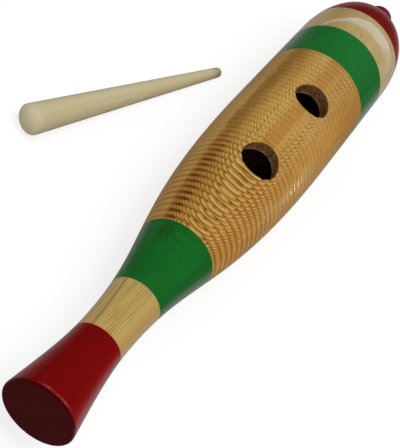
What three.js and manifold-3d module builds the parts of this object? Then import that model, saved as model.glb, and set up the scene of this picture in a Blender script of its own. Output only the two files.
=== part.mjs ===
// Fish-shaped guiro with its scraper: a turned and bored softwood body with scored ridges and two finger
// holes, a turned cap that plugs the bore at the nose, and a loose tapered stick for scraping the ridges.
// Millimetres. +X runs along the turning axis from tail to nose, +Z is up through the finger holes, and the
// origin is the centre of the flat tail face.
import * as THREE from 'three';
import { mergeVertices } from 'three/addons/utils/BufferGeometryUtils.js';
import Module from 'manifold-3d';

// Outside of the fish, from the tail face to the tip of the nose
const TAIL_RADIUS = 18.7;
const TAIL_EDGE_ROUND = 1.2;
const TAIL_LENGTH = 54;
const TAIL_FLARE = 0.15;
const NECK_RADIUS = 12.8;
const SWELL_LENGTH = 184;
const SWELL_NECK_HOLD = 0.34;
const SWELL_BELLY_HOLD = 0.63;
const BELLY_RADIUS = 32.5;
const BELLY_LENGTH = 91;
const SHOULDER_LENGTH = 50.2;
const KNOB_RADIUS = 8.7;
const KNOB_LENGTH = 20.8;
const KNOB_ROUND = 5.2;
const KNOB_COVE = 6;
const COVE_ANGLE = THREE.MathUtils.degToRad(75);

// Scored ridges
const NECK_TO_RIDGES = 65;
const RIDGE_PITCH = 4.2;
const RIDGE_COUNT = 39;
const GROOVE_WIDTH = 2.2;
const GROOVE_DEPTH = 0.9;

// Bore, finger holes and the cap's spigot
const BELLY_WALL = 8;
const BORE_END_WALL = 4.5;
const CAP_JOINT_INSET = 13;
const SPIGOT_LENGTH = 14;
const SPIGOT_CLEARANCE = 0.3;
const SPIGOT_CHAMFER = 1.5;
const HOLE_RADIUS = 11;
const HOLE_SETBACK = 3.8;
const HOLE_SPACING = 62.5;

// Scraper, and where its tip lies on the surface that the fish rests on
const SCRAPER_LENGTH = 152;
const SCRAPER_BUTT_RADIUS = 8.5;
const SCRAPER_BUTT_ROUND = 4.5;
const SCRAPER_TIP_RADIUS = 3.1;
const SCRAPER_TIP_SETBACK = 4.6;
const SCRAPER_GAP = 17.7;
const SCRAPER_TURN = THREE.MathUtils.degToRad(-20.2);

// Facets of the round pieces
const BODY_SIDES = 36;
const HOLE_SIDES = 32;
const SCRAPER_SIDES = 20;
const FLARE_STEPS = 8;
const SWELL_STEPS = 6;
const BODY_SHOULDER_STEPS = 3;
const CAP_SHOULDER_STEPS = 10;
const ROUND_STEPS = 4;

// Places along the axis that follow from the sizes
const NECK_X = TAIL_LENGTH;
const BELLY_X = NECK_X + SWELL_LENGTH;
const SHOULDER_X = BELLY_X + BELLY_LENGTH;
const KNOB_X = SHOULDER_X + SHOULDER_LENGTH;
const TIP_X = KNOB_X + KNOB_LENGTH;
const JOINT_X = SHOULDER_X + CAP_JOINT_INSET;
const SHOULDER_RISE = BELLY_RADIUS - KNOB_RADIUS;
const BORE_RADIUS = BELLY_RADIUS - BELLY_WALL;
const RIDGES_START = NECK_X + NECK_TO_RIDGES;
const RIDGES_END = RIDGES_START + RIDGE_PITCH * RIDGE_COUNT;
const FLOOR_Z = -BELLY_RADIUS * Math.cos(Math.PI / BODY_SIDES);

const PINE = { color: 0xb88c48, roughness: 0.35, metalness: 0 };
const RED_PAINT = { color: 0x72090f, roughness: 0.3, metalness: 0 };
const PALE_WOOD = { color: 0xc4b88c, roughness: 0.5, metalness: 0 };

const wasm = await Module();
wasm.setup();

// An outline point: distance from the turning axis and place along it
function at(radius, x) {
  return new THREE.Vector2(radius, x);
}

// Tail: flares out from the neck to the rim of the tail face
const flareThird = (NECK_X - TAIL_EDGE_ROUND) / 3;
const flareCurve = new THREE.CubicBezierCurve(
  at(TAIL_RADIUS, TAIL_EDGE_ROUND),
  at(TAIL_RADIUS - TAIL_FLARE * flareThird, TAIL_EDGE_ROUND + flareThird),
  at(NECK_RADIUS, NECK_X - flareThird),
  at(NECK_RADIUS, NECK_X),
);

// Swell: from the straight neck to the full belly
const swellCurve = new THREE.CubicBezierCurve(
  at(NECK_RADIUS, NECK_X),
  at(NECK_RADIUS, NECK_X + SWELL_NECK_HOLD * SWELL_LENGTH),
  at(BELLY_RADIUS, BELLY_X - SWELL_BELLY_HOLD * SWELL_LENGTH),
  at(BELLY_RADIUS, BELLY_X),
);

// Where a curve comes to a value, found by halving: key y is the place along the axis, key x the radius
function pointWhere(curve, key, value) {
  let low = 0;
  let high = 1;
  for (let halving = 0; halving < 40; halving += 1) {
    const middle = (low + high) / 2;
    if (curve.getPoint(middle)[key] < value) {
      low = middle;
    } else {
      high = middle;
    }
  }
  return curve.getPoint(low);
}

// The bore stops where the swell leaves enough wall round its closed end
const BORE_END_X = pointWhere(swellCurve, 'x', BORE_RADIUS + BORE_END_WALL).y;
const REAR_HOLE_X = BORE_END_X + HOLE_SETBACK + HOLE_RADIUS;

// Outside radius of the body at a place along the axis, without the grooves
function bodyRadius(x) {
  if (x <= NECK_X) {
    return pointWhere(flareCurve, 'y', x).x;
  }
  if (x < BELLY_X) {
    return pointWhere(swellCurve, 'y', x).x;
  }
  const along = Math.max(x - SHOULDER_X, 0) / SHOULDER_LENGTH;
  return KNOB_RADIUS + SHOULDER_RISE * Math.sqrt(1 - along * along);
}

// Points of an elliptical round, between two angles measured from the radius towards +X
function arcPoints(radius, x, radial, axial, from, to, steps) {
  return Array.from({ length: steps + 1 }, (_, step) => {
    const angle = from + ((to - from) * step) / steps;
    return at(radius + radial * Math.cos(angle), x + axial * Math.sin(angle));
  });
}

// Points of the rounded shoulder between two angles, and the angle where the cap meets the body
const JOINT_ANGLE = Math.asin(CAP_JOINT_INSET / SHOULDER_LENGTH);

function shoulderPoints(from, to, steps) {
  return arcPoints(KNOB_RADIUS, SHOULDER_X, SHOULDER_RISE, SHOULDER_LENGTH, from, to, steps);
}

// Points of the hollow cove that leads from the shoulder's end into the knob
function covePoints() {
  const [start] = shoulderPoints(COVE_ANGLE, COVE_ANGLE, 1);
  const drop = start.x - KNOB_RADIUS;
  const run = (drop * SHOULDER_LENGTH * Math.cos(COVE_ANGLE)) / (SHOULDER_RISE * Math.sin(COVE_ANGLE));
  const corner = at(KNOB_RADIUS, start.y + run);
  const end = at(KNOB_RADIUS, corner.y + KNOB_COVE);
  return new THREE.QuadraticBezierCurve(start, corner, end).getPoints(ROUND_STEPS).slice(1);
}

// A turned solid about +X from an outline that starts and ends on the axis, with a facet at the bottom
const AXIS_TO_X = new THREE.Matrix4().set(0, 1, 0, 0, 0, 0, 1, 0, 1, 0, 0, 0, 0, 0, 0, 1);

function turned(outline, sides) {
  const geometry = new THREE.LatheGeometry(outline, sides, Math.PI / sides);
  geometry.applyMatrix4(AXIS_TO_X);
  return solid(geometry);
}

// A closed mesh as a solid: corners merged, and the flat triangles on the axis left out
function solid(geometry) {
  geometry.deleteAttribute('normal');
  geometry.deleteAttribute('uv');
  const merged = mergeVertices(geometry);
  const index = merged.index.array;
  const corners = [];
  for (let first = 0; first < index.length; first += 3) {
    const [a, b, c] = index.slice(first, first + 3);
    if (a !== b && b !== c && c !== a) {
      corners.push(a, b, c);
    }
  }
  const vertProperties = new Float32Array(merged.attributes.position.array);
  const triVerts = new Uint32Array(corners);
  return new wasm.Manifold(new wasm.Mesh({ numProp: 3, vertProperties, triVerts }));
}

function named(name, shape, finish) {
  const mesh = shape.getMesh();
  const geometry = new THREE.BufferGeometry();
  geometry.setAttribute('position', new THREE.BufferAttribute(new Float32Array(mesh.vertProperties), 3));
  geometry.setIndex(new THREE.BufferAttribute(new Uint32Array(mesh.triVerts), 1));
  geometry.computeVertexNormals();
  const piece = new THREE.Mesh(geometry, new THREE.MeshStandardMaterial(finish));
  piece.name = name;
  return piece;
}

// Scored length: a shallow V groove in the middle of each pitch, with a land on both sides
function ridgePoints() {
  const points = [];
  for (let ridge = 0; ridge < RIDGE_COUNT; ridge += 1) {
    const middle = RIDGES_START + (ridge + 0.5) * RIDGE_PITCH;
    const near = middle - GROOVE_WIDTH / 2;
    const far = middle + GROOVE_WIDTH / 2;
    points.push(at(bodyRadius(near), near));
    points.push(at(bodyRadius(middle) - GROOVE_DEPTH, middle));
    points.push(at(bodyRadius(far), far));
  }
  return points;
}

// Fish body: tail face, flare, neck, ridged swell and belly, shoulder up to the joint, then back down the bore
function fishBody() {
  const rim = TAIL_RADIUS - TAIL_EDGE_ROUND;
  const swellStart = Array.from({ length: SWELL_STEPS }, (_, step) => {
    const x = NECK_X + ((RIDGES_START - NECK_X) * (step + 1)) / SWELL_STEPS;
    return at(bodyRadius(x), x);
  });
  const outline = [
    at(0, 0),
    ...arcPoints(rim, TAIL_EDGE_ROUND, TAIL_EDGE_ROUND, TAIL_EDGE_ROUND, -Math.PI / 2, 0, ROUND_STEPS),
    ...flareCurve.getPoints(FLARE_STEPS).slice(1),
    ...swellStart,
    ...ridgePoints(),
    at(bodyRadius(RIDGES_END), RIDGES_END),
    ...shoulderPoints(0, JOINT_ANGLE, BODY_SHOULDER_STEPS),
    at(BORE_RADIUS, JOINT_X),
    at(BORE_RADIUS, BORE_END_X),
    at(0, BORE_END_X),
  ];
  let body = turned(outline, BODY_SIDES);
  for (const x of [REAR_HOLE_X, REAR_HOLE_X + HOLE_SPACING]) {
    body = body.subtract(fingerHole(x));
  }
  return body;
}

// Drill for a finger hole: straight down from above the crest to the axis
function fingerHole(x) {
  const drill = new THREE.CylinderGeometry(HOLE_RADIUS, HOLE_RADIUS, 2 * BELLY_RADIUS, HOLE_SIDES);
  drill.rotateX(Math.PI / 2);
  drill.translate(x, 0, BELLY_RADIUS);
  return solid(drill);
}

// Nose cap: spigot in the bore, flat seat on the body's rim, rounded shoulder, cove and knob
function noseCap() {
  const spigot = BORE_RADIUS - SPIGOT_CLEARANCE;
  const spigotEnd = JOINT_X - SPIGOT_LENGTH;
  const knobFlat = KNOB_RADIUS - KNOB_ROUND;
  const outline = [
    at(0, spigotEnd),
    at(spigot - SPIGOT_CHAMFER, spigotEnd),
    at(spigot, spigotEnd + SPIGOT_CHAMFER),
    at(spigot, JOINT_X),
    ...shoulderPoints(JOINT_ANGLE, COVE_ANGLE, CAP_SHOULDER_STEPS),
    ...covePoints(),
    ...arcPoints(knobFlat, TIP_X - KNOB_ROUND, KNOB_ROUND, KNOB_ROUND, 0, Math.PI / 2, ROUND_STEPS),
    at(0, TIP_X),
  ];
  return turned(outline, BODY_SIDES);
}

// Scraper along +X from the middle of its butt: domed butt, straight taper and rounded tip
function scraperStick() {
  const buttFlat = SCRAPER_BUTT_RADIUS - SCRAPER_BUTT_ROUND;
  const tipX = SCRAPER_LENGTH - SCRAPER_TIP_RADIUS;
  const outline = [
    at(0, 0),
    ...arcPoints(buttFlat, SCRAPER_BUTT_ROUND, SCRAPER_BUTT_ROUND, SCRAPER_BUTT_ROUND, -Math.PI / 2, 0, ROUND_STEPS),
    ...arcPoints(0, tipX, SCRAPER_TIP_RADIUS, SCRAPER_TIP_RADIUS, 0, Math.PI / 2, ROUND_STEPS).slice(0, -1),
    at(0, SCRAPER_LENGTH),
  ];
  return turned(outline, SCRAPER_SIDES);
}

// Lay the scraper down: its taper tips it forward until the lower facet lies on the floor
function layScraper(scraper) {
  const facet = Math.cos(Math.PI / SCRAPER_SIDES);
  const buttDrop = SCRAPER_BUTT_RADIUS * facet;
  const tipDrop = SCRAPER_TIP_RADIUS * facet;
  const taperLength = SCRAPER_LENGTH - SCRAPER_TIP_RADIUS - SCRAPER_BUTT_ROUND;
  const tilt = Math.atan2(buttDrop - tipDrop, taperLength);
  const height = buttDrop * Math.cos(tilt) + SCRAPER_BUTT_ROUND * Math.sin(tilt);
  const reach = SCRAPER_LENGTH * Math.cos(tilt);
  const buttX = RIDGES_END - SCRAPER_TIP_SETBACK - reach * Math.cos(SCRAPER_TURN);
  const buttY = BELLY_RADIUS + SCRAPER_GAP - reach * Math.sin(SCRAPER_TURN);
  scraper.rotation.set(0, tilt, SCRAPER_TURN, 'ZYX');
  scraper.position.set(buttX, buttY, FLOOR_Z + height);
}

const guiro = new THREE.Group();
const scraper = named('scraper', scraperStick(), PALE_WOOD);
layScraper(scraper);
guiro.add(named('fish_body', fishBody(), PINE), named('nose_cap', noseCap(), RED_PAINT), scraper);

export default guiro;
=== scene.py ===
# %% [markdown]
# # A fish-shaped guiro and its scraper
# A guiro is a hollow wooden instrument that is played by drawing a stick along a row of ridges. This one
# is turned on a lathe: a flared tail to hold it by, a scored belly with two finger holes, and a rounded
# nose that plugs the bore. The lesson builds what the eye sees: three pieces of turned wood, their paint
# and lacquer, the light and the camera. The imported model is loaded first, as a fixed frame that gives
# every piece its place.

# %% Load the frame
import math

import bpy
import numpy as np
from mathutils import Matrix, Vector
from mathutils.geometry import interpolate_bezier


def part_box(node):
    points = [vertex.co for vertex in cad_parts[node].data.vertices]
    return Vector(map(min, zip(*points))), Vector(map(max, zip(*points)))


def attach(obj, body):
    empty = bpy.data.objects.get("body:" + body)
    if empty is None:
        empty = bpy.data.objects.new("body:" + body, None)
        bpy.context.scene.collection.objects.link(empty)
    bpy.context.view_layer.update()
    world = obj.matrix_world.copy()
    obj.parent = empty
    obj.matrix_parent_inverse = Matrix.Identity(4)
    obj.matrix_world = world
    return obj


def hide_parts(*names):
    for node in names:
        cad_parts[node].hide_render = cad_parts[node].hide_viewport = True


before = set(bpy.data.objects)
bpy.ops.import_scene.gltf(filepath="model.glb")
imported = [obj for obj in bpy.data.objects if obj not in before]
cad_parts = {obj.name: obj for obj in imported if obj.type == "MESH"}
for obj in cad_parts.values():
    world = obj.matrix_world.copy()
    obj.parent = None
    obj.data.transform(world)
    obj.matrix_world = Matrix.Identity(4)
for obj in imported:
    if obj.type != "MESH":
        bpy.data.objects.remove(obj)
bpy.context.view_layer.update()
MM = 0.001


def in_mm(lengths):
    """Lengths or a place in millimetres, rounded for printing."""
    return [round(length / MM, 1) for length in lengths]


# %% [markdown]
# ## The sizes of the fish
# A turned piece is one outline carried round an axis, so the outline is worth care. A point of it is a
# place along the axis and a radius. The ends of the pieces are read from the frame, so the wood meets
# where the solids meet, and the other sizes are named once, here.

# %% Places along the axis and radii
joint_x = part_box("fish_body")[1].x
spigot_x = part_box("nose_cap")[0].x
tip_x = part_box("nose_cap")[1].x
neck_x = 54 * MM
belly_x = 238 * MM
shoulder_before_joint = 13 * MM
shoulder_x = joint_x - shoulder_before_joint
shoulder_length = 50.2 * MM
tail_radius = 18.7 * MM
tail_edge_round = 1.2 * MM
neck_radius = 12.8 * MM
belly_radius = 32.5 * MM
knob_radius = 8.7 * MM
shoulder_rise = belly_radius - knob_radius
print("joint, spigot end and tip in mm:", in_mm((joint_x, spigot_x, tip_x)))

# %% [markdown]
# ## The sweeps of the tail and the belly
# The outline could be traced point by point, but many points make a lumpy skin. A turner follows a
# template with a few long sweeps, and so does this: one Bezier curve flares from the neck to the tail,
# another swells from the neck to the belly, and an ellipse rounds the shoulder. The handles of a curve
# say how long it keeps the direction of its ends.

# %% The sweeps
tail_slope = 0.15
flare_third = (neck_x - tail_edge_round) / 3
flare_samples = 100
swell = belly_x - neck_x
neck_handle = 0.34 * swell
belly_handle = 0.63 * swell
swell_samples = 300
tail_flare = interpolate_bezier(
    (tail_edge_round, tail_radius),
    (tail_edge_round + flare_third, tail_radius - tail_slope * flare_third),
    (neck_x - flare_third, neck_radius),
    (neck_x, neck_radius),
    flare_samples,
)
belly_swell = interpolate_bezier(
    (neck_x, neck_radius),
    (neck_x + neck_handle, neck_radius),
    (belly_x - belly_handle, belly_radius),
    (belly_x, belly_radius),
    swell_samples,
)
sweep = np.array([*tail_flare, *belly_swell[1:]])


def skin_radius(x):
    """Radius of the smooth outside of the fish at a place along its axis."""
    if x <= belly_x:
        return float(np.interp(x, sweep[:, 0], sweep[:, 1]))
    along = max(x - shoulder_x, 0) / shoulder_length
    return knob_radius + shoulder_rise * math.sqrt(1 - along * along)


print("radius at the shoulder's joint in mm:", round(skin_radius(joint_x) / MM, 2))

# %% [markdown]
# ## Painted bands and ridges
# The colours lie in bands with clean edges, because paint is held against the turning work. Each edge is
# a place along the axis, and the outline gets a ring of points exactly there, so that a band is a set of
# whole faces. The ridges are left between 39 shallow grooves, cut at an even pitch and shallower towards
# the head. They could be drawn as a bump in the finish, but real grooves catch the light and notch the
# lips of the holes. A round-nosed tool leaves a soft bottom and soft lips, which the power of a parabola
# gives.

# %% Band edges and groove sizes
tail_paint_end = 46.5 * MM
neck_wood_end = 79.8 * MM
ridges_start = 119 * MM
ridge_pitch = 4.2 * MM
ridge_count = 39
ridges_end = ridges_start + ridge_count * ridge_pitch
head_paint_end = 314.2 * MM
groove_width = 1.9 * MM
groove_steps = 10
groove_softness = 1.5
deep_groove = 0.5 * MM
shallow_groove = 0.26 * MM
last_deep_ridge = 10
first_shallow_ridge = 20


def groove_points(ridge):
    """Outline points across one groove, from lip to lip. The steps between grooves are the ridges."""
    middle = ridges_start + (ridge + 0.5) * ridge_pitch
    shallowing = (last_deep_ridge, first_shallow_ridge)
    groove_depth = np.interp(ridge, shallowing, (deep_groove, shallow_groove))
    points = []
    for side in np.linspace(-1, 1, groove_steps + 1):
        x = middle + side * groove_width / 2
        cut = groove_depth * (1 - side * side) ** groove_softness
        points.append((x, skin_radius(x) - cut))
    return points


print("ridges from", round(ridges_start / MM, 1), "to", round(ridges_end / MM, 1), "mm")

# %% [markdown]
# ## Turning on the lathe
# Blender's Spin tool is a lathe: it sweeps an edge round an axis. A Screw modifier could do the same, but
# Spin shows each step as it is done by hand. The outline is drawn from one point that is extruded step by
# step, then spun all the way round. Where the last copy meets the first, and where points lie on the
# axis, doubles are merged, and the normals are made to face outwards.

# %% Draw an outline
def start_afresh():
    """Nothing selected and nothing in edit mode, so an operator acts only on what comes next."""
    if bpy.context.object and bpy.context.object.mode != "OBJECT":
        bpy.ops.object.mode_set(mode="OBJECT")
    bpy.ops.object.select_all(action="DESELECT")


def draw(name, places):
    """A new object with a line drawn through the places, left in edit mode with the whole line selected."""
    start_afresh()
    bpy.ops.mesh.primitive_plane_add(size=MM)
    piece = bpy.context.object
    piece.name = name
    piece.data.name = name
    bpy.ops.object.mode_set(mode="EDIT")
    bpy.ops.mesh.select_all(action="SELECT")
    bpy.ops.mesh.merge(type="CENTER")
    bpy.ops.transform.translate(value=places[0])
    for here, there in zip(places, places[1:]):
        bpy.ops.mesh.extrude_vertices_move(TRANSFORM_OT_translate={"value": there - here})
    bpy.ops.mesh.select_all(action="SELECT")
    return piece


start_afresh()
print("objects selected before drawing:", len(bpy.context.selected_objects))

# %% The lathe
LATHE_STEPS = 144
MERGE = 0.004 * MM


def turn(name, outline, steps):
    """A closed turned piece about the X axis from points of place and radius."""
    piece = draw(name, [Vector((x, 0, radius)) for x, radius in outline])
    bpy.ops.mesh.spin(steps=steps, angle=math.tau, center=(0, 0, 0), axis=(1, 0, 0))
    bpy.ops.mesh.select_all(action="SELECT")
    bpy.ops.mesh.remove_doubles(threshold=MERGE)
    bpy.ops.mesh.normals_make_consistent(inside=False)
    bpy.ops.object.mode_set(mode="OBJECT")
    print(name, "turned:", len(outline), "outline points,", len(piece.data.polygons), "faces")
    return piece


print("one step of the lathe turns", 360 / LATHE_STEPS, "degrees")

# %% [markdown]
# ## The body
# The outline runs from the middle of the tail face, round its worn rim, along the outside to the joint
# with the nose, and back down the bore to its closed end. The bore could be cut later with a Boolean, but
# as a part of the outline it is turned in the same go and stays clean. Its radius and its end come from
# the wood that is left: 8 mm at the belly, and 4.5 mm round the closed end.

# %% Stretches of an outline
def arc(centre_x, centre_radius, reach_x, reach_radius, start, end, steps):
    """Points of an elliptical round, between two angles measured from the radius towards the nose."""
    angles = np.radians(np.linspace(start, end, steps + 1))
    return [(centre_x + reach_x * math.sin(a), centre_radius + reach_radius * math.cos(a)) for a in angles]


def skin(start, end, steps):
    """Points along the smooth outside between two places, with the last one left out."""
    return [(x, skin_radius(x)) for x in np.linspace(start, end, steps, endpoint=False)]


print("the tail's paint ends at a radius of", round(skin_radius(tail_paint_end) / MM, 1), "mm")

# %% Turn the body
belly_wall = 8 * MM
closed_end_wall = 4.5 * MM
bore_radius = belly_radius - belly_wall
closed_end_radius = bore_radius + closed_end_wall
swell_places, swell_radii = np.array(belly_swell).T
bore_x = float(np.interp(closed_end_radius, swell_radii, swell_places))
bore_steps = 15
flat_steps = 4
tail_rim = tail_radius - tail_edge_round
body_outline = [(0, radius) for radius in np.linspace(0, tail_rim, flat_steps + 1)[:-1]]
body_outline += arc(tail_edge_round, tail_rim, tail_edge_round, tail_edge_round, -90, 0, steps=8)[:-1]
body_outline += skin(tail_edge_round, tail_paint_end, steps=26)
body_outline += skin(tail_paint_end, neck_wood_end, steps=18)
body_outline += skin(neck_wood_end, ridges_start, steps=20)
body_outline += [(ridges_start, skin_radius(ridges_start))]
for ridge in range(ridge_count):
    body_outline += groove_points(ridge)
body_outline += skin(ridges_end, head_paint_end, steps=8)
body_outline += skin(head_paint_end, shoulder_x, steps=5)
body_outline += skin(shoulder_x, joint_x, steps=10)
body_outline += [(joint_x, skin_radius(joint_x))]
body_outline += [(x, bore_radius) for x in np.linspace(joint_x, bore_x, bore_steps + 1)]
body_outline += [(bore_x, radius) for radius in np.linspace(bore_radius, 0, flat_steps + 1)[1:]]
fish_body = turn("guiro_body", body_outline, LATHE_STEPS)
print("bore closes at", round(bore_x / MM, 1), "mm")

# %% [markdown]
# ## The finger holes
# Two round holes are drilled straight down through the crest into the bore. They can't be turned, because
# they lie across the axis, so a Boolean modifier is the drill: a cylinder is set where the bit goes and
# taken away from the body. It leaves the sharp, slightly scalloped lip that a bit leaves where it crosses
# the grooves.

# %% Drill the finger holes
hole_radius = 11 * MM
hole_from_closed_end = 3.8 * MM
hole_spacing = 62.5 * MM
rear_hole_x = bore_x + hole_from_closed_end + hole_radius
hole_places = [rear_hole_x, rear_hole_x + hole_spacing]
for hole_x in hole_places:
    start_afresh()
    bpy.ops.mesh.primitive_cylinder_add(
        vertices=96, radius=hole_radius, depth=2 * belly_radius, location=(hole_x, 0, belly_radius)
    )
    drill = bpy.context.object
    start_afresh()
    bpy.context.view_layer.objects.active = fish_body
    cut = fish_body.modifiers.new("finger_hole", "BOOLEAN")
    cut.operation = "DIFFERENCE"
    cut.solver = "EXACT"
    cut.object = drill
    bpy.ops.object.modifier_apply(modifier=cut.name)
    bpy.data.objects.remove(drill)
print("finger holes at", in_mm(hole_places), "mm,", len(fish_body.data.polygons), "faces")

# %% [markdown]
# ## The nose cap
# The nose is a turned plug. Its spigot sits in the bore with a little room for glue, its seat closes on
# the body's rim, and its outside carries on the shoulder and runs through a hollow cove into a small
# round knob. It could be one piece with the body, but a bore needs a way in, so it is turned by itself,
# as a maker would.

# %% The shoulder and the cove
cove_angle = 75
cove_length = 6 * MM
cove_steps = 8
joint_angle = math.degrees(math.asin((joint_x - shoulder_x) / shoulder_length))
shoulder = arc(shoulder_x, knob_radius, shoulder_length, shoulder_rise, joint_angle, cove_angle, steps=28)
cove_start = shoulder[-1]
cove_drop = cove_start[1] - knob_radius
cove_turn = math.radians(cove_angle)
cove_slope = shoulder_rise * math.sin(cove_turn) / (shoulder_length * math.cos(cove_turn))
cove_corner = (cove_start[0] + cove_drop / cove_slope, knob_radius)
cove_end = (cove_corner[0] + cove_length, knob_radius)


def cove_point(t):
    """A point of the hollow cove, as a curve that is pulled towards its corner."""
    weights = ((1 - t) ** 2, 2 * t * (1 - t), t * t)
    return tuple(
        sum(weight * point[axis] for weight, point in zip(weights, (cove_start, cove_corner, cove_end)))
        for axis in (0, 1)
    )


print("cove from", round(cove_start[0] / MM, 1), "to", round(cove_end[0] / MM, 1), "mm")

# %% Turn the nose cap
knob_round = 5.2 * MM
glue_room = 0.3 * MM
spigot_radius = bore_radius - glue_room
spigot_chamfer = 1.5 * MM
cap_outline = [(spigot_x, 0), (spigot_x, spigot_radius - spigot_chamfer)]
cap_outline += [(spigot_x + spigot_chamfer, spigot_radius), (joint_x, spigot_radius)]
cap_outline += shoulder
cap_outline += [cove_point(t) for t in np.linspace(0, 1, cove_steps + 1)[1:]]
cap_outline += arc(tip_x - knob_round, knob_radius - knob_round, knob_round, knob_round, 0, 90, steps=12)
cap_outline += [(tip_x, 0)]
nose_cap = turn("guiro_nose_cap", cap_outline, LATHE_STEPS)

# %% [markdown]
# ## The scraper
# The scraper is a loose tapered stick with a domed butt and a round tip. A cone primitive would have a
# flat butt and a hard edge, so it is turned too. It is turned along the X axis and then laid down: its
# taper tips it forward until its side lies on the table, and it is turned towards the fish. The turn is
# applied to the mesh, so the finished object sits at the origin like the frame's own pieces.

# %% Turn the scraper
stick_length = 152 * MM
butt_radius = 8.5 * MM
butt_round = 4.5 * MM
point_radius = 3.1 * MM
taper_steps = 29
taper_start = (butt_round, butt_radius)
taper_end = (stick_length - point_radius, point_radius)
stick_outline = [(0, 0)]
stick_outline += arc(butt_round, 0, butt_round, butt_radius, -90, 0, steps=14)[1:]
stick_outline += [tuple(point) for point in np.linspace(taper_start, taper_end, taper_steps + 1)[1:-1]]
stick_outline += arc(stick_length - point_radius, 0, point_radius, point_radius, 0, 90, steps=10)[:-1]
stick_outline += [(stick_length, 0)]
scraper = turn("guiro_scraper", stick_outline, steps=96)

# %% Lay the scraper down
floor_z = -belly_radius
stick_tilt = math.atan2(butt_radius - point_radius, stick_length - point_radius - butt_round)
stick_turn = math.radians(-20.2)
butt_height = butt_radius * math.cos(stick_tilt) + butt_round * math.sin(stick_tilt)
reach = stick_length * math.cos(stick_tilt)
tip_behind_ridges_end = 4.6 * MM
tip_from_belly = 17.7 * MM
butt_place = Vector((
    ridges_end - tip_behind_ridges_end - reach * math.cos(stick_turn),
    belly_radius + tip_from_belly - reach * math.sin(stick_turn),
    floor_z + butt_height,
))
scraper.rotation_euler = (0, stick_tilt, stick_turn)
scraper.location = butt_place
start_afresh()
scraper.select_set(True)
bpy.context.view_layer.objects.active = scraper
bpy.ops.object.transform_apply(location=True, rotation=True, scale=True)
print("scraper's butt in mm:", in_mm(butt_place))

# %% [markdown]
# ## Smooth skin and crisp edges
# Turned wood is smooth to the eye, but the mesh is made of flat faces. More faces would be heavy, so the
# shading is smoothed instead. Smoothing everything would melt the lips of the holes and the rim of the
# tail, so edges sharper than a chosen angle stay crisp.

# %% Smooth shading
crisp_angle = 38
for piece in (fish_body, nose_cap, scraper):
    start_afresh()
    piece.select_set(True)
    bpy.context.view_layer.objects.active = piece
    bpy.ops.object.shade_smooth_by_angle(angle=math.radians(crisp_angle))
print("edges sharper than", crisp_angle, "degrees stay crisp")

# %% [markdown]
# ## Tools for the finishes
# Every finish is a small network of nodes, as it would be joined by hand in the Shader Editor. Here one
# function adds a node, sets its options, and sets or links each input that is named. Colours are written
# as sRGB hex values, as a colour picker shows them, and one function turns them into the linear values
# that a shader wants. Patterns read Object coordinates, which are metres in the frame, so the wood's
# figure runs through the piece like the real rings and shows rightly in holes and grooves.

# %% Nodes and colours
def add(tree, kind, inputs=None, **options):
    """Adds a node with its options, and sets or links the inputs that are named."""
    node = tree.nodes.new(kind)
    for option, value in options.items():
        setattr(node, option, value)
    for socket, value in (inputs or {}).items():
        if isinstance(value, bpy.types.NodeSocket):
            tree.links.new(value, node.inputs[socket])
        else:
            node.inputs[socket].default_value = value
    return node


def linear(code):
    """Linear RGBA of an sRGB hex colour."""
    shades = [int(code[place:place + 2], 16) / 255 for place in (1, 3, 5)]
    return [s / 12.92 if s <= 0.04045 else ((s + 0.055) / 1.055) ** 2.4 for s in shades] + [1]


print("a middle grey of #808080 is", round(linear("#808080")[0], 3), "in linear light")

# %% [markdown]
# ## A finish and its surface
# A finish is one material with one Principled shader, which can be wood, paint and lacquer alike. What
# tells them apart is the colour, a few plain settings, and a relief of fibres, pores or sags that is too
# fine to model, so a Bump node bends the light as if it were there.

# %% A finish and its surface
def finish_named(name):
    """A new material, its node tree and the shader that its surface shows."""
    material = bpy.data.materials.new(name)
    material.use_nodes = True
    material.node_tree.nodes.clear()
    shader = add(material.node_tree, "ShaderNodeBsdfPrincipled")
    add(material.node_tree, "ShaderNodeOutputMaterial", {"Surface": shader.outputs["BSDF"]})
    return material, material.node_tree, shader


def surface(tree, shader, colour, settings, relief, share, depth):
    """Gives a finish its colour, its plain settings and a share of a fine relief of this depth."""
    bump = add(tree, "ShaderNodeBump", {"Height": relief, "Strength": share, "Distance": depth})
    tree.links.new(colour, shader.inputs["Base Color"])
    tree.links.new(bump.outputs["Normal"], shader.inputs["Normal"])
    for socket, value in settings.items():
        shader.inputs[socket].default_value = value


def count_nodes(*finishes):
    """Prints how many nodes each finish took."""
    for finish in finishes:
        print(finish.name, "has", len(finish.node_tree.nodes), "nodes")


print("materials before the first finish:", len(bpy.data.materials))

# %% [markdown]
# ## Tints
# Real wood and paint change colour slowly along a piece and round it. Such changes could be painted on by
# hand, but then they would stop at the skin. Here a tint is a colour laid over the wood as strongly as
# its limits allow. A limit is a fixed share, a pattern, or a value that brings the tint in or takes it
# out over a range: (value, start, end) goes from none to all, and two more numbers give other shares at
# the two ends.

# %% Tints and their limits
def strength(tree, *limits):
    """How strongly something shows: its limits multiplied together."""
    total = None
    for limit in limits:
        if isinstance(limit, tuple):
            value, start, end, low, high = limit if len(limit) == 5 else (*limit, 0, 1)
            inputs = {"Value": value, "From Min": start, "From Max": end, "To Min": low, "To Max": high}
            eased = add(tree, "ShaderNodeMapRange", inputs, interpolation_type="SMOOTHSTEP")
            limit = eased.outputs["Result"]
        if total is None:
            total = limit
        else:
            total = add(tree, "ShaderNodeMath", {0: total, 1: limit}, operation="MULTIPLY").outputs[0]
    return total


def tinted(tree, under, colour, *limits):
    """What lies under, with a colour laid over it as strongly as the limits allow."""
    under = linear(under) if isinstance(under, str) else under
    inputs = {0: strength(tree, *limits), 6: under, 7: linear(colour)}
    return add(tree, "ShaderNodeMix", inputs, data_type="RGBA").outputs[2]


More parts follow.
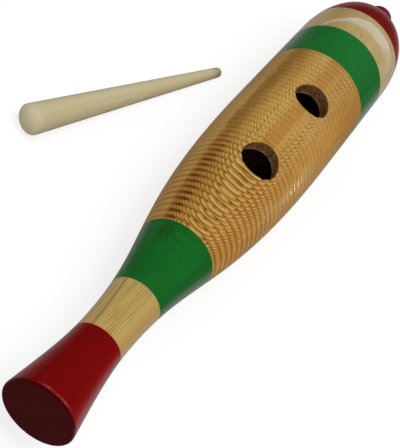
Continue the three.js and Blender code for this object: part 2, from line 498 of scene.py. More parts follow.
def within(value, start, end, soft):
    """The two limits of a band between start and end, with edges this soft."""
    return (value, start - soft, start + soft), (value, end - soft, end + soft, 1, 0)


print("the limits of a band from 10 to 20 that is 2 soft:", within("angle", 10, 20, 2))

# %% [markdown]
# ## The figure of pine
# Pine grows a pale soft layer in spring and a thin dark one in late summer. On a turned piece the layers
# show as lines: straight ones where the tool cut across the rings, and nested arches where it cut along
# them. A photograph of wood could be wrapped round, but it would show seams and couldn't follow the cut.
# So each stretch of the fish is given a trunk whose middle, the pith, lies at a chosen place, and the
# Wave texture counts the rings from there. A slow noise, stretched along the trunk, lets the lines
# wander, and a fine one gives the fibres.

# %% Rings and fibres
def wave_scale(spacing):
    """Scale of a Wave texture whose waves are this far apart: at scale 1 it turns 20 radians a metre."""
    return math.tau / (20 * spacing)


def patches(tree, place, along, across):
    """Soft patches of a given length and width: broad ones for drifts of colour, narrow ones for fibres."""
    inputs = {"Vector": place, "Scale": (1 / along, 1 / across, 1 / across)}
    stretched = add(tree, "ShaderNodeMapping", inputs).outputs[0]
    return add(tree, "ShaderNodeTexNoise", {"Vector": stretched, "Scale": 1, "Detail": 2}).outputs


def wandering(tree, place, along, across, amount):
    """Places moved a little, so that the lines of the wood aren't ruled."""
    inputs = {0: patches(tree, place, along, across)["Color"], 1: (0, amount, amount), 2: place}
    return add(tree, "ShaderNodeVectorMath", inputs, operation="MULTIPLY_ADD").outputs[0]


def late_wood(tree, place, pith, lean, spacing, early=0.3, late=0.95):
    """1 in the dark late wood of a ring, 0 in the pale early wood, and a change between two shares of it."""
    inputs = {"Vector": place, "Location": (0, -pith[0], -pith[1]), "Rotation": (0, lean, 0)}
    trunk = add(tree, "ShaderNodeMapping", inputs).outputs[0]
    inputs = {"Vector": trunk, "Scale": wave_scale(spacing)}
    options = {"wave_type": "RINGS", "rings_direction": "X", "wave_profile": "SAW"}
    rings = add(tree, "ShaderNodeTexWave", inputs, **options).outputs["Fac"]
    return strength(tree, (rings, early, late))


def fibres(tree, place):
    """Fine streaks along the trunk, drawn coarser than real fibres so that they show."""
    return patches(tree, place, 24 * MM, 0.7 * MM)["Fac"]


print("rings 1 mm apart need a wave scale of", round(wave_scale(1 * MM), 1))

# %% [markdown]
# ## Where on the fish, and its lacquer
# A tint has to know where it is: how far along the axis, and how far round from the crest. Both come from
# the Object coordinates, with an arctangent for the angle. The clear lacquer is brushed over wood and
# stain alike. The wood could be made glossy itself, but then its fibres would break up the shine, so the
# wood stays dull and a smooth clear coat over it shines.

# %% Place and lacquer
def object_place(tree):
    """Place on the piece in metres, how far along the axis, and degrees round from the crest to the left."""
    place = add(tree, "ShaderNodeTexCoord").outputs["Object"]
    parts = add(tree, "ShaderNodeSeparateXYZ", {"Vector": place}).outputs
    angle = add(tree, "ShaderNodeMath", {0: parts["Y"], 1: parts["Z"]}, operation="ARCTAN2")
    degrees = add(tree, "ShaderNodeMath", {0: angle.outputs[0]}, operation="DEGREES")
    return place, parts["X"], degrees.outputs[0]


def lacquer(tree, shader, colour, grain, depth, coat=1, coat_roughness=0.04):
    """Wood under clear lacquer: the wood scatters softly, the coat over it shines."""
    settings = {
        "Roughness": 0.55,
        "Specular IOR Level": 0.1,
        "Coat Weight": coat,
        "Coat Roughness": coat_roughness,
        "Coat IOR": 1.5,
    }
    surface(tree, shader, colour, settings, grain, 0.35, depth)


print("left of the crest is +Y, and the crest is at 0 degrees")

# %% [markdown]
# ## Lacquered pine of the neck
# The neck was cut across the rings, so fine lines run along it: clear and close on the crest, weaker on
# the left, where a brown streak leans across, and fading to plain gold with a touch of orange on the
# right. Beside the tail's paint a little red has bled into the wood. Rings far from the pith are nearly
# straight, so the pith is set well to the side.

# %% Neck pine
def neck_pine():
    """Quarter-sawn pine under clear lacquer: pale gold, fine uneven lines, a soft shine."""
    material, tree, shader = finish_named("lacquered_pine_neck")
    place, along, angle = object_place(tree)
    strayed = wandering(tree, place, 60 * MM, 6 * MM, 1.6 * MM)
    strayed = wandering(tree, strayed, 9 * MM, 1.5 * MM, 0.4 * MM)
    rings = late_wood(tree, strayed, (60 * MM, 12 * MM), 0, 1.2 * MM, 0.35, 0.8)
    uneven = patches(tree, place, 18 * MM, 2.5 * MM)["Fac"]
    streaks = fibres(tree, place)
    # The brown streak leans by a quarter of a degree for each millimetre along
    streak_lean = -0.25 / MM
    inputs = {0: along, 1: streak_lean, 2: angle}
    leaning = add(tree, "ShaderNodeMath", inputs, operation="MULTIPLY_ADD").outputs[0]
    wood = tinted(tree, "#CCAF6A", "#BF9F59", patches(tree, place, 60 * MM, 8 * MM)["Fac"])
    # Brighter from the crest to the left, a touch of orange on the right
    wood = tinted(tree, wood, "#DCBE70", (angle, -22, -10, 0, 0.25))
    wood = tinted(tree, wood, "#C28A45", (angle, -14, -40, 0, 0.3))
    wood = tinted(tree, wood, "#D2B070", (angle, 20, 50, 0, 0.5))
    wood = tinted(tree, wood, "#80602C", *within(leaning, 25, 32, 3), 0.5)
    # The lines of the rings, clear on the crest, then the fibres and the red that has bled
    clear_on_crest = [(angle, -22, -10, 0.08, 0.8), (angle, 26, 38, 1, 0.4)]
    wood = tinted(tree, wood, "#7A5C26", rings, (uneven, 0.3, 0.65, 0.35, 1), *clear_on_crest)
    wood = tinted(tree, wood, "#94743C", (streaks, 0.5, 0.8, 0, 0.2))
    wood = tinted(tree, wood, "#C8604C", (along, tail_paint_end, tail_paint_end + 1 * MM, 0.45, 0))
    lacquer(tree, shader, wood, streaks, 0.05 * MM)
    return material


neck_finish = neck_pine()
count_nodes(neck_finish)

# %% [markdown]
# ## Lacquered pine of the head
# Near the nose the wood is paler and nearly plain, browner to the left of the crest, and it has one small
# reddish streak of resin beside the crest. The streak could be a piece of its own, but resin lies in the
# wood, so a small stretched ball of tint is set in the material where the streak is.

# %% Head pine
def head_pine():
    """Pale plain pine under clear lacquer: cream, with faint broad rings."""
    material, tree, shader = finish_named("lacquered_pine_head")
    place, _, angle = object_place(tree)
    strayed = wandering(tree, place, 40 * MM, 12 * MM, 6 * MM)
    rings = late_wood(tree, strayed, (50 * MM, -40 * MM), math.radians(-3), 4 * MM)
    streaks = fibres(tree, place)
    wood = tinted(tree, "#C8B07A", "#BCA268", patches(tree, place, 30 * MM, 14 * MM)["Fac"])
    wood = tinted(tree, wood, "#AE8F58", rings, 0.2)
    # Browner left of the crest, and paler low on both flanks
    wood = tinted(tree, wood, "#B08444", (angle, 15, 42, 0, 0.4))
    wood = tinted(tree, wood, "#DEBE8C", (angle, 42, 60, 0, 0.5))
    wood = tinted(tree, wood, "#E0CC9C", (angle, -22, -48, 0, 0.5))
    wood = tinted(tree, wood, "#A98C58", (streaks, 0.5, 0.85, 0, 0.2))
    inputs = {
        "Vector": place,
        "Location": (319 * MM, 3.2 * MM, 32 * MM),
        "Rotation": (0, 0, math.radians(50)),
        "Scale": (3.6 * MM, 1 * MM, 4 * MM),
    }
    resin_place = add(tree, "ShaderNodeMapping", inputs, vector_type="TEXTURE").outputs[0]
    resin = add(tree, "ShaderNodeTexGradient", {"Vector": resin_place}, gradient_type="SPHERICAL")
    wood = tinted(tree, wood, "#B4683C", (resin.outputs["Fac"], 0, 0.8, 0, 0.7))
    lacquer(tree, shader, wood, streaks, 0.05 * MM)
    return material


head_finish = head_pine()
count_nodes(head_finish)

# %% [markdown]
# ## Rings of the belly
# The belly was cut along the rings, so they come out as nested arches and close lines: wide apart at the
# rear, closer at the front, and closest along the crest there. One trunk can't give all of these, so
# three trunks with the same pith are mixed along the belly and round it. Broad rings are kept apart for
# the pale rear of the crest.

# %% Belly rings
belly_pith = (-10 * MM, -150 * MM)
belly_lean = math.radians(-7)


def belly_rings(tree, place, along, angle):
    """Late wood of the belly, close or wide by its place, and the broad rings of the crest."""
    strayed = wandering(tree, place, 45 * MM, 9 * MM, 1 * MM)
    wide, middling, fine = [
        late_wood(tree, strayed, belly_pith, belly_lean, spacing, 0.4, 0.65)
        for spacing in (0.9 * MM, 0.62 * MM, 0.35 * MM)
    ]
    inputs = {0: strength(tree, *within(angle, -11, 19, 4)), 2: middling, 3: fine}
    front = add(tree, "ShaderNodeMix", inputs, data_type="FLOAT").outputs[0]
    inputs = {0: strength(tree, (along, 170 * MM, 200 * MM)), 2: wide, 3: front}
    rings = add(tree, "ShaderNodeMix", inputs, data_type="FLOAT").outputs[0]
    broad = late_wood(tree, strayed, belly_pith, belly_lean, 1.8 * MM, 0.5, 0.9)
    return rings, broad


print("a ring on the crest has a radius of about", round((belly_radius - belly_pith[1]) / MM), "mm")

# %% [markdown]
# ## Gold of the belly
# Under the strokes the belly is gold, but no two places have the same gold. It is duller towards the head
# and warmer at the rear, yellow and then shaded down the left, brown along the front of the crest, and
# orange down the right. Each is a tint with limits along the fish, round it, or both, as thin washes would
# be. A pale patch low on the right flank is not a wash but a painted sheen.

# %% Belly gold
lens_fade = (175 * MM, 190 * MM)


def belly_gold(tree, place, along, angle, broad):
    """The ground of the belly: warm gold, with a pale lens of broad rings at the rear of the crest, and a
    painted sheen low on the right.
    """
    wood = tinted(tree, "#D4AA5C", "#C49648", patches(tree, place, 50 * MM, 9 * MM)["Fac"])
    # Duller towards the head, warmer at the rear
    wood = tinted(tree, wood, "#B4843C", (along, 215 * MM, 260 * MM, 0, 0.5))
    wood = tinted(tree, wood, "#D09036", (along, 140 * MM, 190 * MM, 0.35, 0))
    # Yellow left of the crest, then a shade at the rear, and brown along the front of the crest
    wood = tinted(tree, wood, "#D4B05C", *within(angle, 10, 28, 8), (along, 140 * MM, 172 * MM, 0.2, 0.75))
    wood = tinted(tree, wood, "#8A5A20", *within(angle, 22, 42, 8), (along, 150 * MM, 175 * MM, 0.25, 0))
    wood = tinted(tree, wood, "#B47A28", *within(angle, -2, 12, 3), (along, 165 * MM, 190 * MM, 0, 0.6))
    # Down the right flank: paler, then orange, bright at the rear and duller at the front
    wood = tinted(tree, wood, "#D0A05A", (angle, -4, -24, 0, 0.5))
    wood = tinted(tree, wood, "#DA9A3E", (angle, -15, -42, 0, 0.4))
    wood = tinted(tree, wood, "#ECAC48", (angle, -42, -60, 0, 0.6), (along, 170 * MM, 200 * MM, 1, 0))
    wood = tinted(tree, wood, "#A47026", (along, 235 * MM, 265 * MM, 0, 0.35), (angle, -8, -30))
    # A painted sheen: a pale patch low on the right flank, where the lacquer shines
    painted_flank_sheen = [*within(angle, -58, -41, 6), *within(along, 158 * MM, 215 * MM, 12 * MM)]
    wood = tinted(tree, wood, "#E2BE78", *painted_flank_sheen, 0.5)
    # The pale lens at the rear of the crest
    lens = strength(tree, *within(angle, -10, 18, 4), (along, *lens_fade, 1, 0))
    wood = tinted(tree, wood, "#D2B062", lens, 0.6)
    return tinted(tree, wood, "#B07A20", lens, broad, 0.5)


print("the pale lens ends", round((lens_fade[1] - ridges_start) / MM), "mm in front of the first ridge")

# %% [markdown]
# ## Scored pine of the belly
# On the crest a ring lies flat under the surface, so every groove cuts through into darker wood and draws
# a stroke, and on the flanks the rings come out as close lines that the grooves chop into a woven
# pattern. Resin has darkened a streak along the rear of the left flank, and towards the head the streak
# turns into a smooth brown band. The strokes could be drawn one by one, but here they come by themselves,
# because the rings and a wave with the pitch of the grooves are multiplied. Players rub the belly, so its
# coat is thinner and softer.

# %% Scored pine
def scored_pine():
    """Flat-sawn pine, grooved and lacquered: warm gold with brown strokes where a groove meets late wood."""
    material, tree, shader = finish_named("scored_pine")
    place, along, angle = object_place(tree)
    inputs = {
        "Vector": place,
        "Scale": wave_scale(ridge_pitch),
        "Phase Offset": -math.tau * ridges_start / ridge_pitch,
    }
    options = {"wave_type": "BANDS", "bands_direction": "X", "wave_profile": "SIN"}
    groove = add(tree, "ShaderNodeTexWave", inputs, **options).outputs["Fac"]
    rings, broad = belly_rings(tree, place, along, angle)
    streaks = fibres(tree, place)
    wood = belly_gold(tree, place, along, angle, broad)
    wood = tinted(tree, wood, "#96682A", (streaks, 0.5, 0.85, 0, 0.25))

    # The brown band and the streak of resin have edges that wander by up to 14 degrees
    inputs = {0: patches(tree, place, 9 * MM, 3 * MM)["Fac"], 1: 14, 2: angle}
    frayed = add(tree, "ShaderNodeMath", inputs, operation="MULTIPLY_ADD").outputs[0]
    chopped = strength(tree, (groove, 0.3, 0.9, 0.4, 0.75))
    inputs = {0: strength(tree, (along, 175 * MM, 205 * MM)), 2: chopped, 3: 0.6}
    scored = add(tree, "ShaderNodeMix", inputs, data_type="FLOAT").outputs[0]
    band = [(frayed, 40, 54), (frayed, 58, 65, 1, 0), scored, (along, 220 * MM, 260 * MM, 1, 0.85)]
    wood = tinted(tree, wood, "#824D0C", *band)
    blotchy = patches(tree, place, 20 * MM, 4 * MM)["Fac"]
    resin = [*within(frayed, 43, 57, 5), (along, 160 * MM, 195 * MM, 1, 0)]
    resin += [(groove, 0.3, 0.9, 0.05, 1.3), (blotchy, 0.4, 0.6, 0.5, 1.2)]
    wood = tinted(tree, wood, "#3A1402", *resin)

    # The strokes are weaker low on the left, towards the head and on the flat front of the crest
    patchy = patches(tree, place, 14 * MM, 4 * MM)["Fac"]
    flat = strength(tree, *within(angle, -8, 12, 4), (along, 180 * MM, 205 * MM))
    strokes = [rings, (groove, 0.3, 0.8, 0.55, 1), (angle, -22, -6, 0.9, 1), (angle, 48, 58, 1, 0.3)]
    strokes += [(along, 165 * MM, 240 * MM, 1, 0.6), (patchy, 0.35, 0.6, 0.85, 1.4), (flat, 0, 1, 1, 0.5)]
    wood = tinted(tree, wood, "#8E5800", *strokes)

    # Lacquer and dirt lie in the bottoms of the grooves, and painted shade darkens them too
    wood = tinted(tree, wood, "#6A3E12", (groove, 0.6, 1), (along, 150 * MM, 200 * MM, 0.35, 0.05))
    lacquer(tree, shader, wood, streaks, 0.08 * MM, coat=0.5, coat_roughness=0.18)
    return material


belly_finish = scored_pine()
count_nodes(belly_finish)

# %% [markdown]
# ## Green stain
# The two green bands are a thin stain. The rings show through it faintly, as fine lines near the neck and
# arches near the belly, and a knot makes a dark spot on the left. A flat green would look like plastic,
# so the rings of the wood are drawn here too, in a darker green, under the same gloss lacquer.

# %% Green stain
def green_stain():
    """Translucent green stain under lacquer: deep green with faint darker rings."""
    material, tree, shader = finish_named("green_stain")
    place, along, angle = object_place(tree)
    strayed = wandering(tree, place, 30 * MM, 8 * MM, 4 * MM)
    lines = late_wood(tree, strayed, (60 * MM, 12 * MM), 0, 1.1 * MM)
    arches = late_wood(tree, strayed, (-6 * MM, -80 * MM), 0, 1.3 * MM)
    inputs = {0: strength(tree, (along, 92 * MM, 106 * MM)), 2: lines, 3: arches}
    rings = add(tree, "ShaderNodeMix", inputs, data_type="FLOAT").outputs[0]
    streaks = fibres(tree, place)
    green = tinted(tree, "#167628", "#0D621F", patches(tree, place, 26 * MM, 12 * MM)["Fac"])
    green = tinted(tree, green, "#177A2C", (along, 120 * MM, 280 * MM, 0, 0.6))
    green = tinted(tree, green, "#0D4A1C", rings, (along, 120 * MM, 280 * MM, 0.25, 0.06))
    green = tinted(tree, green, "#2B8040", (streaks, 0.55, 0.85, 0, 0.2))
    knot = [*within(angle, 27, 46, 5), *within(along, 107 * MM, 118 * MM, 4 * MM)]
    green = tinted(tree, green, "#1E3F12", *knot, 0.4)
    lacquer(tree, shader, green, streaks, 0.05 * MM)
    return material


green_finish = green_stain()
count_nodes(green_finish)

# %% [markdown]
# ## Red enamel
# The tail and the nose are dipped in deep red enamel. It covers the grain and pulls slightly into waves as
# it dries. A paler pink highlight is painted in specks on the top of the tail's rim, and a dark ring lies
# round its rounded edge. The tail shines, and the nose is rubbed duller by use. One function makes both,
# because it is one paint: only the roughness and the IOR, which sets how much it mirrors, differ.

# %% Red enamel
def red_enamel(name, roughness, ior):
    """Opaque enamel on turned wood: deep red, gently uneven, with a painted highlight on the top of the
    tail's rim.
    """
    material, tree, shader = finish_named(name)
    place, along, angle = object_place(tree)
    red = tinted(tree, "#800708", "#700506", patches(tree, place, 22 * MM, 10 * MM)["Fac"])
    # Brighter down both flanks
    red = tinted(tree, red, "#96100E", (angle, -15, -50, 0, 0.8))
    red = tinted(tree, red, "#96100E", (angle, 45, 60, 0, 0.5))
    # A painted highlight in specks on the top of the tail's rim, and a dark ring round its rounded edge
    specks = patches(tree, place, 2 * MM, 2 * MM)["Fac"]
    painted_rim_highlight = [*within(along, 1.6 * MM, 2.9 * MM, 0.6 * MM), *within(angle, -22, 22, 14)]
    red = tinted(tree, red, "#A85850", *painted_rim_highlight, (specks, 0.35, 0.65, 0.1, 0.7))
    red = tinted(tree, red, "#300204", (along, 1 * MM, 1.6 * MM, 0.85, 0))
    sag = patches(tree, place, 14 * MM, 5 * MM)["Fac"]
    surface(tree, shader, red, {"Roughness": roughness, "IOR": ior}, sag, 0.2, 0.3 * MM)
    return material


tail_finish = red_enamel("red_enamel", roughness=0.12, ior=1.5)
nose_finish = red_enamel("rubbed_red_enamel", roughness=0.25, ior=1.25)
count_nodes(tail_finish, nose_finish)

# %% [markdown]
# ## End grain, with painted shade
# The flat end of the tail is cut across the grain. The open wood drinks the paint, which dries dark and
# dull there and doesn't fill the pores. Its maroon is also darkened further as painted shade. The same
# enamel would shine too much, so the end has a finish of its own.

# %% End grain with painted shade
def end_grain_with_painted_shade():
    """Red paint soaked into end grain, darkened further as painted shade: dark maroon and dull, with pores
    drawn coarse enough to show.
    """
    material, tree, shader = finish_named("end_grain_with_painted_shade")
    place = add(tree, "ShaderNodeTexCoord").outputs["Object"]
    pores = patches(tree, place, 4 * MM, 0.9 * MM)["Fac"]
    # Maroon of the soaked end grain, made darker still as painted shade
    maroon = tinted(tree, "#560A0E", "#46060A", patches(tree, place, 4 * MM, 7 * MM)["Fac"])
    maroon = tinted(tree, maroon, "#2A0608", (pores, 0.5, 0.75, 0, 0.5))
    settings = {"Roughness": 0.6, "Specular IOR Level": 0.05}
    surface(tree, shader, maroon, settings, pores, 0.5, 0.2 * MM)
    return material


tail_end_finish = end_grain_with_painted_shade()
count_nodes(tail_end_finish)

# %% [markdown]
# ## Bare wood of the holes
# The walls of the finger holes are bare wood, mottled and torn by the drill, with a pale broken edge
# where the bit came through into the bore. That edge could be modelled as splinters, but they would be
# too small to see, so it is a tint that starts at the bore's radius.

# %% Drilled pine
def drilled_pine():
    """Raw pine cut by a drill: dull brown, mottled, rough, paler where it broke at the bore."""
    material, tree, shader = finish_named("drilled_pine")
    place = add(tree, "ShaderNodeTexCoord").outputs["Object"]
    torn = patches(tree, place, 2.4 * MM, 1.8 * MM)["Fac"]
    mottled = patches(tree, place, 9 * MM, 4 * MM)["Fac"]
    wood = tinted(tree, "#B0804E", "#8A5E38", mottled)
    wood = tinted(tree, wood, "#54341A", (torn, 0.4, 0.65, 0, 0.7))
    inputs = {0: place, 1: (0, 1, 1)}
    round_axis = add(tree, "ShaderNodeVectorMath", inputs, operation="MULTIPLY").outputs[0]
    from_axis = add(tree, "ShaderNodeVectorMath", {0: round_axis}, operation="LENGTH").outputs["Value"]
    broken = [(from_axis, bore_radius, bore_radius + 2.5 * MM, 0.5, 0), (mottled, 0.4, 0.6, 1.2, 0.4)]
    wood = tinted(tree, wood, "#D0BC9C", *broken)
    settings = {"Roughness": 0.85, "Specular IOR Level": 0.2}
    surface(tree, shader, wood, settings, torn, 0.5, 0.3 * MM)
    return material


hole_finish = drilled_pine()
count_nodes(hole_finish)

# %% [markdown]
# ## The bore in painted shade
# The bore is never sanded or sealed, and its wood is painted nearly black as painted shade. Shadow alone
# would leave it brown, because light comes in by the holes, so the colour itself is dark, and it has no
# shine at all.

# %% Bore in painted shade
def bore_in_painted_shade():
    """Bare wood painted nearly black as painted shade, with brown fibres."""
    material, tree, shader = finish_named("bore_in_painted_shade")
    place = add(tree, "ShaderNodeTexCoord").outputs["Object"]
    wood = tinted(tree, "#2A150E", "#3A2014", (fibres(tree, place), 0.4, 0.75))
    tree.links.new(wood, shader.inputs["Base Color"])
    shader.inputs["Roughness"].default_value = 1
    shader.inputs["Specular IOR Level"].default_value = 0
    return material


bore_finish = bore_in_painted_shade()
count_nodes(bore_finish)

# %% [markdown]
# ## The scraper's wood
# The scraper is a pale hardwood, sanded and left plain. Its fibres run along the stick, so the pattern is
# turned with it by a Mapping node. The rounded butt is sanded paler and the tip is darkened by the
# ridges, so both are tints by the distance from the butt.

# %% Pale hardwood
def scraper_wood():
    """Sanded pale hardwood: cream, fine straight fibres, a dull shine."""
    material, tree, shader = finish_named("sanded_pale_hardwood")
    place = add(tree, "ShaderNodeTexCoord").outputs["Object"]
    inputs = {"Vector": place, "Rotation": (0, 0, -stick_turn)}
    along = add(tree, "ShaderNodeMapping", inputs).outputs[0]
    streaks = fibres(tree, along)
    inputs = {0: place, 1: butt_place}
    from_butt = add(tree, "ShaderNodeVectorMath", inputs, operation="DISTANCE").outputs["Value"]
    wood = tinted(tree, "#D8CDA4", "#C9BC91", patches(tree, along, 50 * MM, 5 * MM)["Fac"])
    wood = tinted(tree, wood, "#B4A677", (streaks, 0.45, 0.8, 0, 0.3))
    wood = tinted(tree, wood, "#F4E6BC", (from_butt, 6 * MM, 11 * MM, 0.6, 0))
    wood = tinted(tree, wood, "#867848", (from_butt, 140 * MM, 151 * MM, 0, 0.6))
    surface(tree, shader, wood, {"Roughness": 0.5}, streaks, 0.4, 0.1 * MM)
    return material


stick_finish = scraper_wood()
count_nodes(stick_finish)

# %% [markdown]
# ## Which face gets which finish
# The bands could be told apart inside one material, but then their edges would be as soft as the pattern.
# The outline has points at each edge, so a face belongs to a band by its place along the axis. Faces that
# don't look away from the axis are the walls of the bore, where they lie on its radius, or of the finger
# holes, and they stay bare. The tail's flat end looks back along the axis.

# %% Give the pieces their finishes
finishes = [tail_finish, neck_finish, green_finish, belly_finish, head_finish]
finishes += [hole_finish, bore_finish, tail_end_finish]
bands = [
    (tail_paint_end, tail_finish),
    (neck_wood_end, neck_finish),
    (ridges_start, green_finish),
    (ridges_end, belly_finish),
    (head_paint_end, green_finish),
    (joint_x, head_finish),
]
band_ends = [end for end, _ in bands]
band_slots = [finishes.index(finish) for _, finish in bands]
on_bore = bore_radius + 0.1 * MM
for finish in finishes:
    fish_body.data.materials.append(finish)
for face in fish_body.data.polygons:
    from_axis = Vector((0, face.center.y, face.center.z))
    looks_out = face.normal.dot(from_axis.normalized()) >= 0.5
    looks_back = face.normal.x < -0.8
    band = int(np.searchsorted(band_ends, face.center.x))
    face.material_index = band_slots[min(band, len(band_slots) - 1)]
    if face.center.x > neck_x and not looks_out:
        bare_finish = bore_finish if from_axis.length < on_bore else hole_finish
        face.material_index = finishes.index(bare_finish)
    if looks_back and face.center.x < tail_edge_round:
        face.material_index = finishes.index(tail_end_finish)
nose_cap.data.materials.append(nose_finish)
scraper.data.materials.append(stick_finish)
counts = np.bincount([face.material_index for face in fish_body.data.polygons])
print("faces of each finish:", counts.tolist())

# %% [markdown]
# ## Joining the frame
# Each piece rides on the body that moves it and stands for the solid that it covers, which is hidden.
# Parenting by hand would do the first of these, and two small functions here do both.

# %% Ride and replace
for piece, body, node, slot in (
    (fish_body, "guiro", "fish_body", "lacquered_pine"),
    (nose_cap, "guiro", "nose_cap", "red_paint"),
    (scraper, "scraper", "scraper", "pale_wood"),
):
    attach(piece, body)
    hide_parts(node)
    print(piece.name, "rides on", body)
# The stick isn't mirrored in the lacquer, so the flank beside it stays clean.
scraper.visible_glossy = False

# %% [markdown]
# ## The table
# The fish lies on a plain white table. To the camera the table is white with a soft shadow, but a table
# that white would flood the wood with light and fill the lacquer with glare. So its material asks what
# kind of ray is looking, with a Light Path node: light that bounces off it is dimmer, and in the gloss
# only a painted pool of light along the fish is bright, as under one lamp in a dim room.

# %% Table
pool_place = (0.3, -0.017, 0)
pool_turn = math.radians(4.5)
pool_reach = (1.5, 0.175, 1)
backdrop_glow = 0.78


def table_white():
    """Plain matt white, brighter to the camera than to the light that bounces off it, with a pool of light
    painted where the gloss sees it.
    """
    material = bpy.data.materials.new("matt_white_table")
    material.use_nodes = True
    tree = material.node_tree
    tree.nodes.clear()
    ray = add(tree, "ShaderNodeLightPath").outputs
    place = add(tree, "ShaderNodeTexCoord").outputs["Object"]
    inputs = {"Vector": place, "Location": pool_place, "Rotation": (0, 0, pool_turn), "Scale": pool_reach}
    in_pool = add(tree, "ShaderNodeMapping", inputs, vector_type="TEXTURE").outputs[0]
    pool = add(tree, "ShaderNodeTexGradient", {"Vector": in_pool}, gradient_type="SPHERICAL").outputs["Fac"]
    # A pool of light painted on the table, seen only in the gloss
    painted_pool_colour = tinted(tree, "#5C5C5C", "#B8B8B8", (pool, 0, 0.9))
    mirrored = add(tree, "ShaderNodeBsdfDiffuse", {"Color": painted_pool_colour})
    dim = add(tree, "ShaderNodeBsdfDiffuse", {"Color": linear("#C8C8C8")})
    soft = add(tree, "ShaderNodeBsdfDiffuse", {"Color": linear("#8C8C8C")})
    bright = add(tree, "ShaderNodeEmission", {"Color": linear("#FFFFFF"), "Strength": backdrop_glow})
    backdrop = add(tree, "ShaderNodeAddShader", {0: soft.outputs[0], 1: bright.outputs[0]})
    inputs = {0: ray["Is Glossy Ray"], 1: ray["Is Transmission Ray"]}
    gloss = add(tree, "ShaderNodeMath", inputs, operation="MAXIMUM").outputs[0]
    table = add(tree, "ShaderNodeMixShader", {0: gloss, 1: dim.outputs[0], 2: mirrored.outputs[0]})
    inputs = {0: ray["Is Camera Ray"], 1: table.outputs[0], 2: backdrop.outputs[0]}
    table = add(tree, "ShaderNodeMixShader", inputs)
    add(tree, "ShaderNodeOutputMaterial", {"Surface": table.outputs[0]})
    return material


start_afresh()
bpy.ops.mesh.primitive_plane_add(size=30, location=(0, 0, floor_z))
floor = bpy.context.object
floor.name = "table"
floor.data.materials.append(table_white())
print("table at", round(floor_z / MM, 2), "mm")

# %% [markdown]
# ## Camera
# The picture is taken from above the tail with a moderate telephoto lens, looking down along the fish. A
# wider lens from nearer by would swell the tail. The camera is aimed at a place near the axis, and then
# rolled so that the fish runs from corner to corner.

# %% Camera
camera_place = Vector((-248.56, 27.62, 415.81)) * MM
camera_target = Vector((145.7, 0.4, 0)) * MM
camera_roll = math.radians(46.28)
start_afresh()
bpy.ops.object.camera_add(location=camera_place)
camera = bpy.context.object
aim = (camera_target - camera_place).to_track_quat("-Z", "Y").to_matrix()
camera.rotation_euler = aim.to_euler()
camera.rotation_euler.rotate_axis("Z", camera_roll)
camera.data.lens = 90
camera.data.sensor_width = 36
bpy.context.scene.camera = camera
bpy.context.scene.view_settings.view_transform = "Standard"
print("camera looks along", [round(c, 3) for c in (camera_target - camera_place).normalized()])

# %% [markdown]
# ## The room
# The room gives some even light, so that no side of the fish is black. An even white room would also be
# mirrored all over and turn the lacquer milky, so in the gloss it is dark, as a dim room is, and it is
# white where the camera sees past the table.

# %% Dim room
room_light = 0.42
room_in_gloss = 0.02
room_to_camera = 1.0
world = bpy.data.worlds.new("dim_room")
bpy.context.scene.world = world
world.use_nodes = True
tree = world.node_tree
tree.nodes.clear()
ray = add(tree, "ShaderNodeLightPath").outputs
inputs = {"Value": ray["Is Glossy Ray"], "To Min": room_light, "To Max": room_in_gloss}
lighting = add(tree, "ShaderNodeMapRange", inputs).outputs[0]
inputs = {0: ray["Is Camera Ray"], 2: lighting, 3: room_to_camera}
room_strength = add(tree, "ShaderNodeMix", inputs, data_type="FLOAT").outputs[0]
room = add(tree, "ShaderNodeBackground", {"Color": linear("#FFFFFF"), "Strength": room_strength})
add(tree, "ShaderNodeOutputWorld", {"Surface": room.outputs[0]})
print(world.name, "lights with a strength of", room_light)

# %% [markdown]
# ## The key lamp
# One broad lamp above and a little to the right is the key. A small lamp would throw a hard shadow, so it
# is wide, and it isn't mirrored, so it leaves no streak in the lacquer.

# %% Key lamp
start_afresh()
fish_middle = Vector((0.2, 0, 0))
towards_key = Vector((-0.1, -0.15, 0.98)).normalized()
key_distance = 1.8
bpy.ops.object.light_add(type="AREA", location=fish_middle + key_distance * towards_key)
key = bpy.context.object
key.name = "key_lamp"
key.data.size = 1.2
key.data.energy = 19
key.rotation_euler = towards_key.to_track_quat("Z", "Y").to_euler()
key.visible_glossy = False
print(key.name, "at", [round(c, 2) for c in key.location])

# %% [markdown]
# ## A low lamp that only glints
# Along the right flank of the belly the lacquer has a soft warm shine between the grooves, as from a lamp
# low at the side. A real lamp there would light the whole flank, so this one is kept out of the diffuse
# light: it shows only in the gloss, and a narrow spread keeps it to one stretch of the belly.

# %% Glint lamp
start_afresh()
glint_place = Vector((193, -24, 20)) * MM
towards_glint = Vector((0.17, -0.98, 0.08)).normalized()
glint_distance = 0.3
bpy.ops.object.light_add(type="AREA", location=glint_place + glint_distance * towards_glint)
glint = bpy.context.object
glint.name = "glint_lamp"
glint.data.shape = "RECTANGLE"
glint.data.size = 0.07
glint.data.size_y = 0.16
glint.data.spread = math.radians(14)
glint.data.energy = 0.0125
glint.data.color = linear("#FFE2A8")[:3]
glint.rotation_euler = towards_glint.to_track_quat("Z", "Y").to_euler()
glint.visible_diffuse = False
print(glint.name, "at", [round(c, 2) for c in glint.location])

# %% [markdown]
# ## The bright arch
# A pale crescent lies across the head, where its rounding mirrors something bright beyond the nose.
# Painting it on the wood would be wrong as soon as the light changes, so a card stands there, cool and
# bright, that shows only in reflections. Its shape is found backwards: the camera's ray is mirrored by
# the skin at each edge of the crescent, and where it meets the plane of the card is a point of the card's
# edge. The card fades towards its ends.

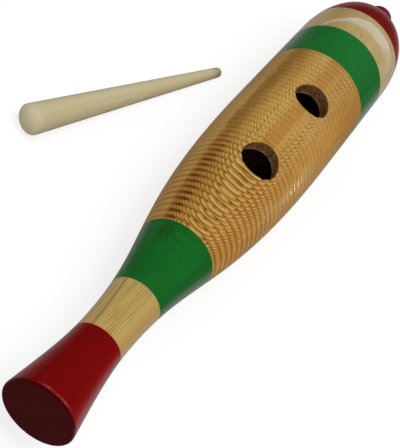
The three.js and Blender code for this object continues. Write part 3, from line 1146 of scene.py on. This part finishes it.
# %% The shape of the arch
arch_x = joint_x + 0.4
arch_points = 54
crescent_half_angle = 53
crescent_middle = -4
crescent_reach = 51
crescent_x = 327.2 * MM
crescent_bend = 10.7 * MM
crescent_width = 9.6 * MM
crescent_least_width = 2.5 * MM
thins_from = 5
thins_by = 0.17 * MM


def mirrored_on_arch(x, side):
    """Where the camera's ray meets the plane of the arch after it is mirrored by the skin at x."""
    step = 0.5 * MM
    slope = (skin_radius(x + step) - skin_radius(x - step)) / (2 * step)
    outward = Vector((0, math.sin(side), math.cos(side)))
    spot = Vector((x, 0, 0)) + skin_radius(x) * outward
    normal = (outward - Vector((slope, 0, 0))).normalized()
    onward = (spot - camera_place).reflect(normal)
    return spot + onward * (arch_x - spot.x) / onward.x


outer_places = []
inner_places = []
for angle in np.linspace(crescent_half_angle, -crescent_half_angle, arch_points):
    outer_x = crescent_x - crescent_bend * abs((angle - crescent_middle) / crescent_reach) ** 3
    width = max(crescent_least_width, crescent_width - thins_by * max(0, angle - thins_from))
    outer_places.append(mirrored_on_arch(outer_x, math.radians(angle)))
    inner_places.append(mirrored_on_arch(outer_x + width, math.radians(angle)))
arch = draw("bright_arch", outer_places + inner_places[::-1])
bpy.ops.mesh.edge_face_add()
bpy.ops.object.mode_set(mode="OBJECT")
print(arch.name, "spans", [round(c, 2) for c in arch.dimensions], "metres")

# %% Make the arch glow
glowing = bpy.data.materials.new("glowing_card")
glowing.use_nodes = True
tree = glowing.node_tree
tree.nodes.clear()
place = add(tree, "ShaderNodeTexCoord").outputs["Object"]
across = add(tree, "ShaderNodeSeparateXYZ", {0: place}).outputs["Y"]
arch_glow = 2.35
left_end_glow = 1.8
right_end_share = 0.2
left_end = outer_places[0].y
right_end = outer_places[-1].y
left_fade = (across, 0.7 * left_end, left_end, arch_glow, left_end_glow)
right_fade = (across, 0.6 * right_end, right_end, 1, right_end_share)
inputs = {"Color": linear("#CCE2FF"), "Strength": strength(tree, left_fade, right_fade)}
glow = add(tree, "ShaderNodeEmission", inputs)
add(tree, "ShaderNodeOutputMaterial", {"Surface": glow.outputs[0]})
arch.data.materials.append(glowing)
arch.visible_camera = False
arch.visible_diffuse = False
arch.visible_shadow = False
print("the arch fades to", round(left_end, 2), "m on the left and", round(right_end, 2), "m on the right")
